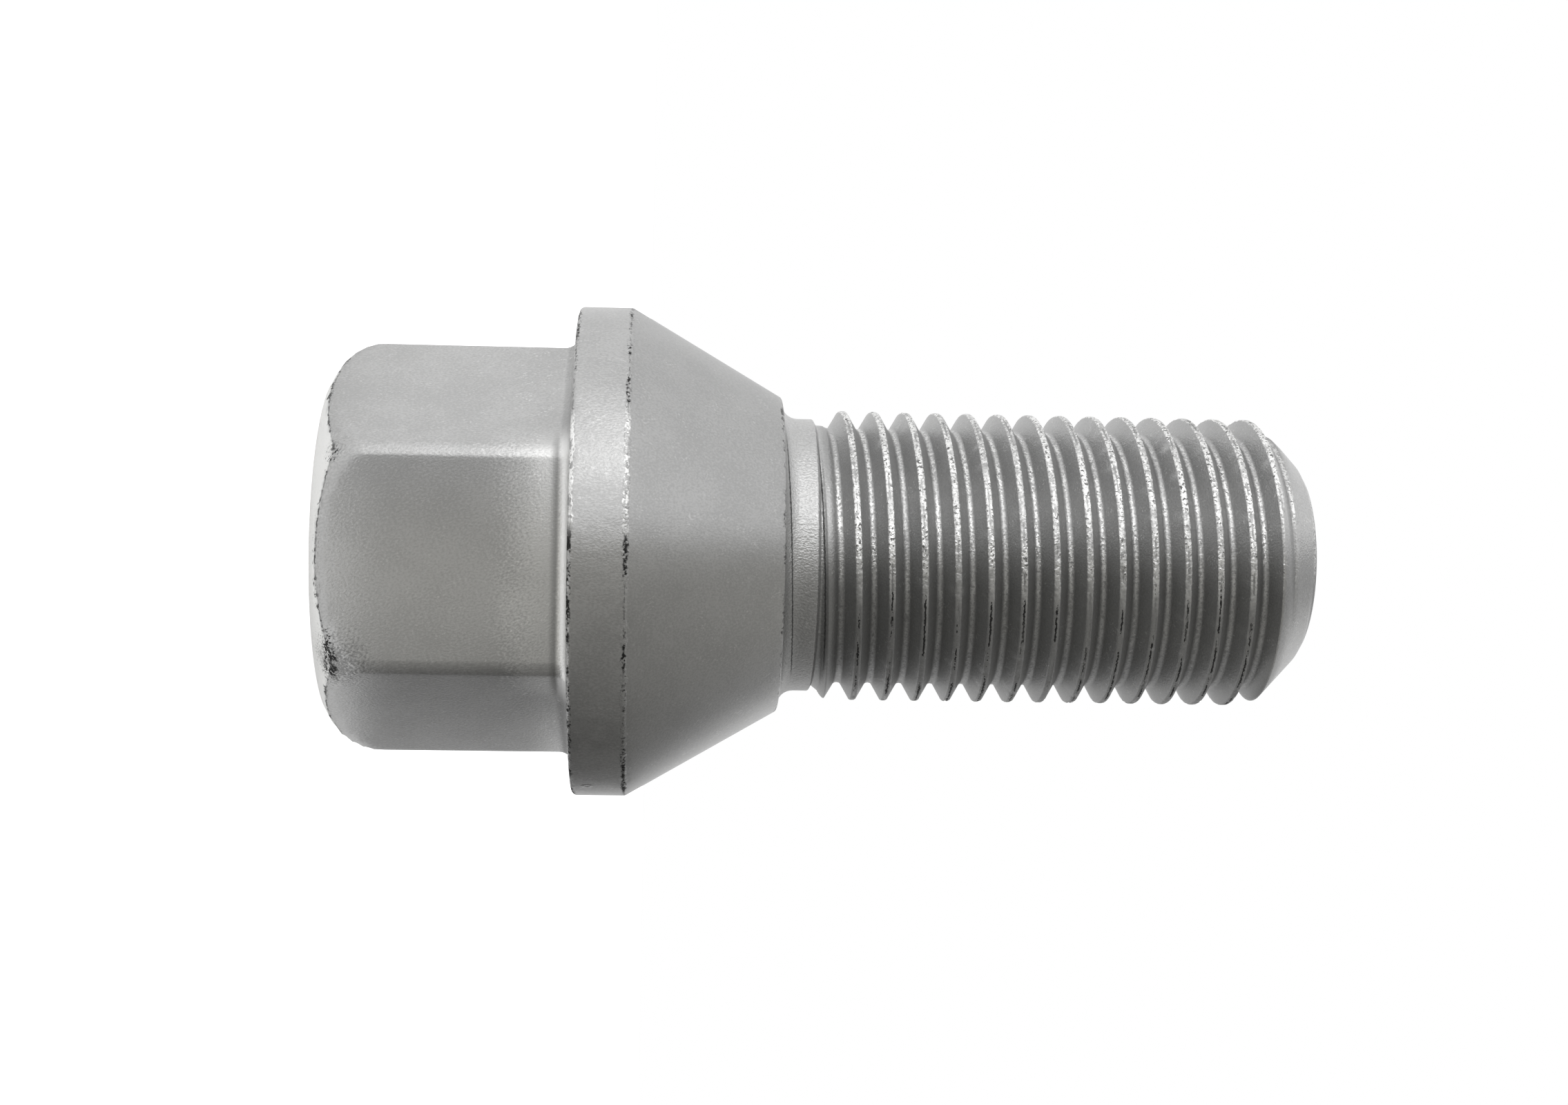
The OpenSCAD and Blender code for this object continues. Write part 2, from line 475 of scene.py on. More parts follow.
def vectorCalc(tree, operation, *inputs):
    return newNode(tree, "VectorMath", inputs, operation=operation).outputs


def scaleVector(tree, vector, factor):
    return newNode(tree, "VectorMath", {0: vector, "Scale": factor}, operation="SCALE").outputs[0]


def fade(tree, value, low, high):
    # 0 at low and 1 at high, smooth between them
    inputs = (value, low, high)
    return newNode(tree, "MapRange", inputs, interpolation_type="SMOOTHSTEP").outputs[0]


def fadeFrom(tree, value, start, ends):
    # both ends are counted from the start
    return fade(tree, value, *(start + end for end in ends))


def remap(tree, value, low, high, lowTo=0, highTo=1):
    return newNode(tree, "MapRange", (value, low, high, lowTo, highTo)).outputs[0]


def oneSide(tree, way, angle, reach):
    # 1 on the side at an angle about the axis, fading out at reach, in degrees
    fullReach = reach * 0.6
    side = Vector((math.cos(math.radians(angle)), math.sin(math.radians(angle)), 0))
    facing = vectorCalc(tree, "DOT_PRODUCT", way, side)["Value"]
    return fade(tree, facing, math.cos(math.radians(reach)), math.cos(math.radians(fullReach)))


def speckle(tree, vector, size, detail=2.0):
    scale = calc(tree, "DIVIDE", 1, size) if isinstance(size, bpy.types.NodeSocket) else 1 / size
    return newNode(tree, "TexNoise", {"Vector": vector, "Scale": scale, "Detail": detail}).outputs[0]


def aboutZero(tree, speckles):
    # the noise lies about one half
    return minus(tree, speckles, 0.5)


def blend(tree, amount, first, second):
    return newNode(tree, "Mix", {0: amount, 6: first, 7: second}, data_type="RGBA").outputs[2]


# sockets of the groups that carry vectors
vectorLabels = ("Object", "Place", "Round")


def socketKind(label):
    return "NodeSocketVector" if label in vectorLabels else "NodeSocketFloat"


def startGroup(name, inputs):
    # inputs come with values of their own, or None where they are always linked
    tree = bpy.data.node_groups.new(name, "ShaderNodeTree")
    for label, value in inputs.items():
        socket = tree.interface.new_socket(label, in_out="INPUT", socket_type=socketKind(label))
        if value is not None:
            socket.default_value = value
    return tree, tree.nodes.new("NodeGroupInput").outputs


def endGroup(tree, outputs):
    for label in outputs:
        tree.interface.new_socket(label, in_out="OUTPUT", socket_type=socketKind(label))
    setInputs(tree, tree.nodes.new("NodeGroupOutput"), outputs)
    return tree


def useGroup(tree, group, inputs):
    return newNode(tree, "Group", inputs, node_tree=group).outputs


def makePlaceGroup():
    # where on the bolt a point lies, in millimetres and turns
    tree, given = startGroup("bolt_place", {"Object": None})
    place = scaleVector(tree, given["Object"], 1 / mm)
    x, y, z = newNode(tree, "SeparateXYZ", (place,)).outputs
    flat = vectorCalc(tree, "MULTIPLY", place, (1, 1, 0))["Vector"]
    return endGroup(tree, {
        "Place": place,
        "Along": z,
        "Radius": vectorCalc(tree, "LENGTH", flat)["Value"],
        "Turn": calc(tree, "DIVIDE", calc(tree, "ARCTAN2", y, x), math.tau),
        "Round": vectorCalc(tree, "NORMALIZE", flat)["Vector"],
    })


# Grain of the coat, the size of a cluster as a multiple of the grain's own
grainLook = {
    "cluster": 7,
    "fleckFade": (0.58, 0.68),
    "clusterFade": (0.52, 0.66),
    "fineTone": 1.1,
    # size in millimetres and detail of the clouds
    "cloud": (2.6, 4),
    "cloudTone": 0.55,
}


def makeGrainGroup():
    # short flake marks, drawn out along the bolt and slanted, with brighter ones in clusters
    g = grainLook
    tree, given = startGroup("coat_grain", {"Place": None, "Size": 0.1, "Stretch": 2, "Slant": 0})
    turning = {"Vector": given["Place"], "Angle": given["Slant"]}
    turned = newNode(tree, "VectorRotate", turning, rotation_type="Y_AXIS").outputs[0]
    squeeze = newNode(tree, "CombineXYZ", (1, 1, calc(tree, "DIVIDE", 1, given["Stretch"]))).outputs[0]
    drawn = vectorCalc(tree, "MULTIPLY", turned, squeeze)["Vector"]
    fine = speckle(tree, drawn, given["Size"])
    cluster = speckle(tree, drawn, times(tree, given["Size"], g["cluster"]))
    cloud = aboutZero(tree, speckle(tree, given["Place"], *g["cloud"]))
    height = aboutZero(tree, fine)
    return endGroup(tree, {
        "Height": height,
        "Flecks": times(tree, fade(tree, fine, *g["fleckFade"]), fade(tree, cluster, *g["clusterFade"])),
        "Tone": timesPlus(tree, height, g["fineTone"], times(tree, cloud, g["cloudTone"])),
    })


# Worn edges with a painted shade line: the fades run over shares of the edge's width, the breaks over the
# noise
wearShadeLook = {
    # size in millimetres and detail of the noise
    "small": (0.12, 3),
    "middle": (0.4, 3),
    "large": (1.8, 2),
    "wobble": 0.4,
    "bandFade": (1, 0.4),
    # shares of the small, the middle and the large noise in the mottle
    "mottle": (0.5, 0.5, 0.6),
    "chipLimit": 0.68,
    "chipCover": -0.25,
    "chipBreaks": (0, 0.1),
    "lineFade": (0.4, 0.1),
    "lineBreaks": (0.4, 0.56),
    "rubFade": (1, 0.6),
    "rubBreaks": (0.42, 0.52),
    # height of the worn band, and what the small and the middle noise take from it
    "bandHeight": 1.1,
    "bandDrops": (-1, -0.6),
}


def makeWearShadeGroup():
    # ragged edge: a fine dark line of painted shade, chips of bare dark steel, and bright metal where it
    # is rubbed
    w = wearShadeLook
    tree, given = startGroup("edge_wear", {
        "Place": None, "Distance": 1, "Width": 0.15, "Cover": 0.5, "Line": 0.5, "Rubbed": 0,
    })
    small, middle, large = (speckle(tree, given["Place"], *w[n]) for n in ("small", "middle", "large"))
    wobble = times(tree, aboutZero(tree, middle), w["wobble"])
    ragged = absolute(tree, calc(tree, "ADD", given["Distance"], wobble))
    ragged = calc(tree, "DIVIDE", ragged, given["Width"])
    band = fade(tree, ragged, *w["bandFade"])
    smallShare, middleShare, largeShare = w["mottle"]
    mottle = timesPlus(tree, small, smallShare, times(tree, middle, middleShare))
    mottle = timesPlus(tree, aboutZero(tree, large), largeShare, mottle)
    limit = timesPlus(tree, given["Cover"], w["chipCover"], w["chipLimit"])
    chips = times(tree, band, fade(tree, minus(tree, mottle, limit), *w["chipBreaks"]))
    # a fine dark line of painted shade along the edge
    line = times(tree, fade(tree, ragged, *w["lineFade"]), fade(tree, middle, *w["lineBreaks"]))
    line = times(tree, line, given["Line"])
    light = times(tree, fade(tree, ragged, *w["rubFade"]), fade(tree, mottle, *w["rubBreaks"]))
    light = times(tree, light, given["Rubbed"])
    smallDrop, middleDrop = w["bandDrops"]
    drop = timesPlus(tree, small, smallDrop, times(tree, middle, middleDrop))
    return endGroup(tree, {
        "Dark": times(tree, most(tree, chips, line), minus(tree, 1, light)),
        "Bright": light,
        "Height": times(tree, band, calc(tree, "ADD", drop, w["bandHeight"])),
        "Small": small,
    })


# Marks of the rolling: noise as size and detail, fades over distances in millimetres or over the noise
rollLook = {
    "small": (0.16, 3),
    "radiusWobble": 0.16,
    # from the top of a crest and from the bottom of a groove
    "crestFade": (-0.08, -0.03),
    "rootFade": (0.03, 0),
    # inside the tip's chamfer, from its flat end and from the foot of the thread
    "coneFade": (0.03, 0.12),
    "endFade": (-0.02, -0.1),
    "footFade": (0.3, 0.8),
    # scales round and along the bolt, so that the long noise and the cracks run along the crest
    "longScales": (3, 1.4),
    "long": (0.8, 3),
    "crackWobble": 0.16,
    "crackFade": (0.06, 0.03),
    "crackRadius": (-0.12, -0.06),
    # limit of the noise for a crack, what the side below the camera takes from it, and its ragged ends
    "crackLimit": 0.7,
    "crackSide": -0.24,
    "crackRagged": 0.35,
    "crackEnds": (0, 0.04),
    # cracks come more often on the side below the camera, and painted shade darkens the crests and roots
    # there
    "partedSide": (-30, 62),
    "partedDark": 0.5,
    "partedCrest": -0.85,
    "partedRoot": -0.6,
    # rubbed bright in some stretches and dull in others
    "patchShares": (0.5, 0.5),
    "patchFade": (0.4, 0.58),
    "patchCrest": (0.7, 0.3),
    "patchRoot": (0.75, 0.25),
    # thin dark line between the neck and the first ridge
    "markWobble": 0.08,
    "markFade": (0.045, 0.02),
    "markEnd": (0.45, 0.3),
    "markSide": (-88, 66),
    "pits": (0.12, 3),
    "pitFade": (0.53, 0.6),
}
rollInputs = ("Place", "Along", "Radius", "Turn", "Round")


def makeRollGroup():
    # burnished crests and roots, with pits, the cracks where the two lips of a crest meet, and painted
    # shade below the camera
    t, r = threadSize, rollLook
    total = boltSize["total"]
    tree, given = startGroup("rolled_marks", dict.fromkeys(rollInputs))
    turns = calc(tree, "DIVIDE", minus(tree, given["Along"], crestAt), t["pitch"])
    phase = calc(tree, "FRACT", calc(tree, "ADD", minus(tree, turns, given["Turn"]), 0.5))
    across = times(tree, minus(tree, phase, 0.5), t["pitch"])
    small = speckle(tree, given["Place"], *r["small"])
    wobble = aboutZero(tree, small)
    ragged = timesPlus(tree, wobble, r["radiusWobble"], given["Radius"])

    slope = math.tan(math.radians(t["tipSlope"]))
    cone = timesPlus(tree, minus(tree, total, given["Along"]), slope, t["tipRadius"])
    inside = fade(tree, minus(tree, cone, given["Radius"]), *r["coneFade"])
    inside = times(tree, inside, fadeFrom(tree, given["Along"], total, r["endFade"]))
    rolled = times(tree, inside, fadeFrom(tree, given["Along"], threadFoot, r["footFade"]))
    crest = fadeFrom(tree, ragged, t["crest"], r["crestFade"])
    root = times(tree, fadeFrom(tree, ragged, grooveRadius, r["rootFade"]), rolled)

    around, along = r["longScales"]
    lift = newNode(tree, "CombineXYZ", (0, 0, times(tree, given["Along"], along))).outputs[0]
    drawn = vectorCalc(tree, "ADD", scaleVector(tree, given["Round"], around), lift)["Vector"]
    long = speckle(tree, drawn, *r["long"])
    belowCamera = oneSide(tree, given["Round"], *r["partedSide"])
    limit = timesPlus(tree, belowCamera, r["crackSide"], r["crackLimit"])
    split = timesPlus(tree, wobble, r["crackRagged"], minus(tree, long, limit))
    bent = absolute(tree, calc(tree, "ADD", across, times(tree, wobble, r["crackWobble"])))
    crack = times(tree, fade(tree, bent, *r["crackFade"]), fade(tree, split, *r["crackEnds"]))
    crack = times(tree, crack, fadeFrom(tree, given["Radius"], t["crest"], r["crackRadius"]))
    # painted shade on the crests and roots below the camera
    shadedBelow = times(tree, most(tree, crest, root), times(tree, belowCamera, r["partedDark"]))

    smallShare, longShare = r["patchShares"]
    patchy = timesPlus(tree, small, smallShare, times(tree, long, longShare))
    patchy = fade(tree, patchy, *r["patchFade"])
    # the bright crests and roots fade out below the camera, as painted shade
    crest = times(tree, crest, timesPlus(tree, belowCamera, r["partedCrest"], 1))
    crest = times(tree, crest, timesPlus(tree, patchy, *r["patchCrest"]))
    root = times(tree, root, timesPlus(tree, belowCamera, r["partedRoot"], 1))
    root = times(tree, root, timesPlus(tree, patchy, *r["patchRoot"]))

    beside = absolute(tree, timesPlus(tree, wobble, r["markWobble"], across))
    mark = fade(tree, beside, *r["markFade"])
    mark = times(tree, mark, fadeFrom(tree, given["Along"], threadFoot, r["markEnd"]))
    return endGroup(tree, {
        "Crest": times(tree, crest, rolled),
        "Root": root,
        "Crack": most(tree, crack, times(tree, shadedBelow, rolled)),
        "Pits": fade(tree, speckle(tree, given["Place"], *r["pits"]), *r["pitFade"]),
        "Height": wobble,
        "Mark": times(tree, mark, oneSide(tree, given["Round"], *r["markSide"])),
        "Chamfer": minus(tree, 1, inside),
    })


placeGroup = makePlaceGroup()
grainGroup = makeGrainGroup()
wearShadeGroup = makeWearShadeGroup()
rollGroup = makeRollGroup()

# Coat on every face: bare steel shows bright where it is rubbed and dark where it is chipped; the same
# bright and dark masks also carry painted highlights and painted shade
coat = {
    "metallic": 0.92,
    "roughness": 0.38,
    "shine": 0.1,
    "dullness": 0.3,
    # where the tone is low, this share goes to the darker level
    "tone": 0.26,
    "toneFade": (0.2, -0.2),
    "toneLevel": 0.2,
    "blueShare": 0.995,
    "dark": (0.035, 0.035, 0.035, 1),
    "bright": (0.9, 0.9, 0.89, 1),
    # height of the worn bands, in millimetres
    "wearDepth": 0.04,
}


def gray(level):
    return (level, level, level * coat["blueShare"], 1)


def newCoat(name):
    material = bpy.data.materials.new(name)
    material.use_nodes = True
    tree = material.node_tree
    place = useGroup(tree, placeGroup, {"Object": newNode(tree, "TexCoord").outputs["Object"]})
    return material, tree, place


def coatGrain(tree, place, look):
    return useGroup(tree, grainGroup, {
        "Place": place["Place"], "Size": look["size"], "Stretch": look["stretch"], "Slant": look["slant"],
    })


def finishCoat(tree, base, tone, bright, dark, height, shine):
    # tone darkens the base, bright and dark are masks, height is in millimetres
    c = coat
    amount = times(tree, fade(tree, tone, *c["toneFade"]), c["tone"])
    lit = blend(tree, bright, blend(tree, amount, base, gray(c["toneLevel"])), c["bright"])
    rough = minus(tree, c["roughness"], times(tree, shine, c["shine"]))
    setInputs(tree, tree.nodes["Principled BSDF"], {
        "Metallic": c["metallic"],
        "Base Color": blend(tree, dark, lit, c["dark"]),
        "Roughness": calc(tree, "ADD", rough, times(tree, dark, c["dullness"])),
        "Normal": newNode(tree, "Bump", {"Height": height, "Distance": mm}).outputs[0],
    })


# Hexagon: slanted flake marks, a bare chamfer, and wear with a painted shade line along the crease
# between chamfer and flats
hexCoat = {
    "base": 0.52,
    "size": 0.085,
    "stretch": 1.5,
    "slant": 0.35,
    "depth": 0.015,
    "creaseWidth": 0.13,
    "creaseCover": 0.55,
    # strength of the painted shade line along the crease
    "creaseLine": 0.8,
    "creaseRise": 0.04,
    # the wear leaves out the end face and its dish, which lie inside the crease
    "faceFade": (-0.3, -0.6),
    "faceShift": -2,
    "bareBright": 0.8,
    "bareRagged": 0.08,
    "bareFade": (0.06, -0.02),
    "bareStart": (-0.5, -0.2),
    # two corners of the near flat are chipped, the lower one deeper: place, reach and soot
    "chips": [((4.8, -8.3, 0.9), 1.6, 0.42), ((-4.8, -8.3, 0.8), 0.7, 0.3)],
    # as shares of a chip's reach
    "chipRagged": 2.5,
    "chipFade": (1, 0.3),
    "sootFade": (1.1, 0.2),
    # what a chip adds to the crease's wear
    "chipWidth": 0.4,
    "chipCover": 0.6,
    # painted highlight line and painted shadow band where the fillet runs into the collar, on the near
    # side, and painted shade there on the other sides
    "footSide": (-86, 46),
    "footLine": (0.6, 0.4),
    "footRise": 0.15,
    "footRagged": 0.3,
    "footBright": 0.95,
    "footShade": 0.2,
    "footGrime": 0.45,
    "grimeStart": (0.95, 0.6),
    "grimeEnd": (0.45, 0.6),
    # flecks gather and the coat thins towards the collar; on the near side that stretch is also lightened
    # with a painted highlight
    "thinFade": (8, 10.3),
    "thinRagged": 3,
    "thinBright": 0.48,
    "fleckShares": (0.6, 0.4),
    "fleckBright": 0.4,
}


def makeHexCoat():
    h, end = hexCoat, boltSize["endRadius"]
    material, tree, place = newCoat("hexagon_coat")
    grain = coatGrain(tree, place, h)
    crease = newNode(tree, "Attribute", attribute_name="crease").outputs["Fac"]
    chip, smudge = 0, 0
    for spot, reach, soot in h["chips"]:
        away = vectorCalc(tree, "DISTANCE", place["Place"], spot)["Value"]
        away = timesPlus(tree, grain["Tone"], reach * h["chipRagged"], away)
        chip = most(tree, fade(tree, away, *(reach * share for share in h["chipFade"])), chip)
        soft = times(tree, fade(tree, away, *(reach * share for share in h["sootFade"])), soot)
        smudge = most(tree, soft, smudge)
    face = fadeFrom(tree, place["Radius"], end, h["faceFade"])
    wearShade = useGroup(tree, wearShadeGroup, {
        "Place": place["Place"],
        "Distance": timesPlus(tree, face, h["faceShift"], minus(tree, crease, h["creaseRise"])),
        "Width": timesPlus(tree, chip, h["chipWidth"], h["creaseWidth"]),
        "Cover": timesPlus(tree, chip, h["chipCover"], h["creaseCover"]),
        "Line": h["creaseLine"],
    })
    bare = fade(tree, timesPlus(tree, wearShade["Height"], h["bareRagged"], crease), *h["bareFade"])
    bare = times(tree, bare, fadeFrom(tree, place["Radius"], end, h["bareStart"]))

    below = minus(tree, boltSize["hexHeight"], place["Along"])
    near = oneSide(tree, place["Round"], *h["footSide"])
    foot = timesPlus(tree, wearShade["Small"], h["footRagged"], minus(tree, below, h["footRise"]))
    foot = fade(tree, foot, *h["footLine"])
    # painted highlight on the near side of the fillet, painted shade on the far sides, and a painted
    # shadow band beside the highlight
    filletHighlight = times(tree, foot, times(tree, near, h["footBright"]))
    shaded = times(tree, foot, times(tree, minus(tree, 1, near), h["footShade"]))
    filletShadow = times(tree, fade(tree, below, *h["grimeStart"]), fade(tree, below, *h["grimeEnd"]))
    filletShadow = times(tree, filletShadow, times(tree, near, h["footGrime"]))

    worn = fade(tree, timesPlus(tree, grain["Tone"], h["thinRagged"], place["Along"]), *h["thinFade"])
    flecks = times(tree, grain["Flecks"], timesPlus(tree, worn, *h["fleckShares"]))
    # flecks, plus a painted highlight on the near side where the coat thins
    flecksAndHighlight = timesPlus(tree, flecks, h["fleckBright"], times(tree, worn, near, h["thinBright"]))
    bright = most(tree, flecksAndHighlight, most(tree, filletHighlight, times(tree, bare, h["bareBright"])))
    dark = most(tree, wearShade["Dark"], filletShadow, shaded, smudge)
    height = timesPlus(tree, wearShade["Height"], coat["wearDepth"], times(tree, grain["Height"], h["depth"]))
    finishCoat(tree, gray(h["base"]), grain["Tone"], bright, dark, height, flecks)
    return material


# Collar and cone: scratches along the rim, burrs at its edges with painted shade lines and a painted
# highlight, and a smooth seat
collarCoat = {
    "rim": 0.51,
    "cone": 0.445,
    "coneFade": (-0.05, 0.15),
    "size": 0.08,
    "stretch": 1.6,
    "slant": 0,
    "rimDepth": 0.016,
    "coneDepth": 0.007,
    "fleckBright": 0.15,
    # size in millimetres and detail of the blotches on the rim
    "blotch": (0.9, 4),
    "blotchDepth": 0.03,
    # worn edges of the rim, each a little inside its corner, each with a painted shade line
    "edgeWidth": 0.15,
    "edgeCover": 0.75,
    "edgeLine": 0.6,
    "lowerEdge": 0.08,
    "upperEdge": -0.02,
    "edgeInward": (-0.5, -0.7),
    # bright rubbed metal on this stretch of the rim edge only, above the camera side: wear with a painted
    # highlight
    "rubbedSide": (-111, 16),
    # a smear across the rim: side, strength and where the blotches break it
    "smearSide": (-49, 7),
    "smearDark": 0.15,
    "smearBreaks": (0.3, 0.6),
    # a nick close to the outline
    "nick": (10.5, -4.9, 12.2),
    "nickReach": 0.3,
    "nickDepth": 0.12,
    # worn edge at the small end of the seat, with a painted shade line
    "endWidth": 0.1,
    "endCover": 0.6,
    "endLine": 0.5,
    "endEdge": -0.05,
    "endDark": 0.7,
}


def makeCollarCoat():
    c = collarCoat
    material, tree, place = newCoat("collar_coat")
    grain = coatGrain(tree, place, c)
    lower = absolute(tree, minus(tree, place["Along"], boltSize["hexHeight"] + c["lowerEdge"]))
    upper = absolute(tree, minus(tree, place["Along"], collarTop + c["upperEdge"]))
    inside = fadeFrom(tree, place["Radius"], boltSize["collarRadius"], c["edgeInward"])
    wearShade = useGroup(tree, wearShadeGroup, {
        "Place": place["Place"],
        "Distance": calc(tree, "ADD", calc(tree, "MINIMUM", lower, upper), inside),
        "Width": c["edgeWidth"],
        "Cover": c["edgeCover"],
        "Line": c["edgeLine"],
        # the rubbed stretch is a painted highlight on the worn edge
        "Rubbed": oneSide(tree, place["Round"], *c["rubbedSide"]),
    })
    seatEnd = useGroup(tree, wearShadeGroup, {
        "Place": place["Place"],
        "Distance": minus(tree, place["Along"], seatTop + c["endEdge"]),
        "Width": c["endWidth"],
        "Cover": c["endCover"],
        "Line": c["endLine"],
    })
    cone = fadeFrom(tree, place["Along"], collarTop, c["coneFade"])
    rim = minus(tree, 1, cone)
    deep = remap(tree, cone, 0, 1, c["rimDepth"], c["coneDepth"])
    height = timesPlus(tree, wearShade["Height"], coat["wearDepth"], times(tree, grain["Height"], deep))
    blotch = speckle(tree, place["Place"], *c["blotch"])
    height = timesPlus(tree, blotch, times(tree, rim, c["blotchDepth"]), height)
    away = vectorCalc(tree, "DISTANCE", place["Place"], c["nick"])["Value"]
    lip = fade(tree, absolute(tree, minus(tree, away, c["nickReach"] / 2)), c["nickReach"] / 2, 0)
    height = timesPlus(tree, lip, c["nickDepth"], height)

    smear = oneSide(tree, place["Round"], *c["smearSide"])
    smear = times(tree, smear, fade(tree, blotch, *c["smearBreaks"]))
    smear = times(tree, smear, times(tree, rim, c["smearDark"]))
    base = blend(tree, cone, gray(c["rim"]), gray(c["cone"]))
    bright = most(tree, wearShade["Bright"], times(tree, grain["Flecks"], c["fleckBright"]))
    dark = most(tree, wearShade["Dark"], times(tree, seatEnd["Dark"], c["endDark"]), smear)
    finishCoat(tree, base, grain["Tone"], bright, dark, height, grain["Flecks"])
    return material


# Neck and thread: grainy neck, smooth flanks, burnished crests and roots
threadCoat = {
    "neck": 0.58,
    "flank": 0.4,
    "tip": 0.54,
    "neckFade": (0.3, -0.1),
    "size": 0.09,
    "stretch": 1.3,
    "slant": 0,
    "neckDepth": 0.045,
    "flankDepth": 0.018,
    "crestDepth": 0.09,
    "fleckBright": 0.4,
    "pitDark": 0.85,
    "markDark": 0.85,
    # darker on the side below the camera, but not near the tip
    "lowSide": (-40, 60),
    "lowShade": 0.32,
    "lowEnd": (-1.2, -2),
}


def makeThreadCoat():
    t = threadCoat
    material, tree, place = newCoat("thread_coat")
    grain = coatGrain(tree, place, t)
    roll = useGroup(tree, rollGroup, {label: place[label] for label in rollInputs})
    neck = fadeFrom(tree, place["Along"], threadFoot, t["neckFade"])
    burnished = most(tree, roll["Crest"], roll["Root"])
    height = times(tree, grain["Height"], remap(tree, neck, 0, 1, t["flankDepth"], t["neckDepth"]))
    height = timesPlus(tree, times(tree, burnished, roll["Height"]), t["crestDepth"], height)
    bright = most(tree, burnished, times(tree, grain["Flecks"], t["fleckBright"]))
    low = times(tree, oneSide(tree, place["Round"], *t["lowSide"]), t["lowShade"])
    low = times(tree, low, fadeFrom(tree, place["Along"], boltSize["total"], t["lowEnd"]))
    pits = times(tree, burnished, roll["Pits"], t["pitDark"])
    dark = most(tree, roll["Crack"], pits, times(tree, roll["Mark"], t["markDark"]), low)
    base = blend(tree, neck, gray(t["flank"]), gray(t["neck"]))
    base = blend(tree, roll["Chamfer"], base, gray(t["tip"]))
    finishCoat(tree, base, grain["Tone"], bright, dark, height, burnished)
    return material


def dressBolt(piece):
    piece.data.materials.clear()
    for material in (makeHexCoat(), makeCollarCoat(), makeThreadCoat()):
        piece.data.materials.append(material)
    hexTop = boltSize["hexHeight"] - meshSteps["faceReach"]
    for face in piece.data.polygons:
        z = face.center.z / mm
        face.material_index = 0 if z < hexTop else 1 if z < seatTop else 2
    print("coats:", [m.name for m in piece.data.materials])


dressBolt(bolt)
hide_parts("wheel_bolt")
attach(bolt, "root")

# Camera: level with the shank and rolled a quarter turn, so the bolt lies along the picture
cameraSetup = {
    # in pixels of the photograph
    "pictureWidth": 2271,
    "pictureHeight": 1600,
    "aimPixel": (1192.6, 803.9),
    "focal": 3055,
    # sensor, distance and the height of the aim on the axis in millimetres, angles in degrees
    "sensor": 36,
    "distance": 101.5,
    "faceTurn": 3.0,
    "yaw": 3.3,
    "roll": 1.01,
    "aim": 23.2,
    # in metres
    "clip": (0.005, 10),
}


def viewBasis():
    turn = math.radians(cameraSetup["faceTurn"])
    along = Vector((0, 0, 1))
    up = Vector((-math.cos(turn), math.sin(turn), 0))
    near = Vector((-math.sin(turn), -math.cos(turn), 0))
    return along, up, near


def makeCamera():
    c = cameraSetup
    along, up, near = viewBasis()
    yaw, roll = math.radians(c["yaw"]), math.radians(c["roll"])
    right = along * math.cos(yaw) + near * math.sin(yaw)
    back = near * math.cos(yaw) - along * math.sin(yaw)
    xAxis = right * math.cos(roll) + up * math.sin(roll)
    yAxis = up * math.cos(roll) - right * math.sin(roll)
    aim = Vector((0, 0, c["aim"] * mm))
    offX = (c["aimPixel"][0] - c["pictureWidth"] / 2) / c["focal"] * c["distance"] * mm
    offY = (c["pictureHeight"] / 2 - c["aimPixel"][1]) / c["focal"] * c["distance"] * mm
    place = aim - xAxis * offX - yAxis * offY + back * c["distance"] * mm
    data = bpy.data.cameras.new("camera")
    data.sensor_width = c["sensor"]
    data.lens = c["focal"] * c["sensor"] / c["pictureWidth"]
    data.clip_start, data.clip_end = c["clip"]
    camera = bpy.data.objects.new("camera", data)
    bpy.context.scene.collection.objects.link(camera)
    turned = Matrix((xAxis, yAxis, back)).transposed().to_4x4()
    camera.matrix_world = Matrix.Translation(place) @ turned
    bpy.context.scene.camera = camera
    print("camera: lens", round(data.lens, 2), "mm, place", [round(v / mm, 1) for v in place])


makeCamera()

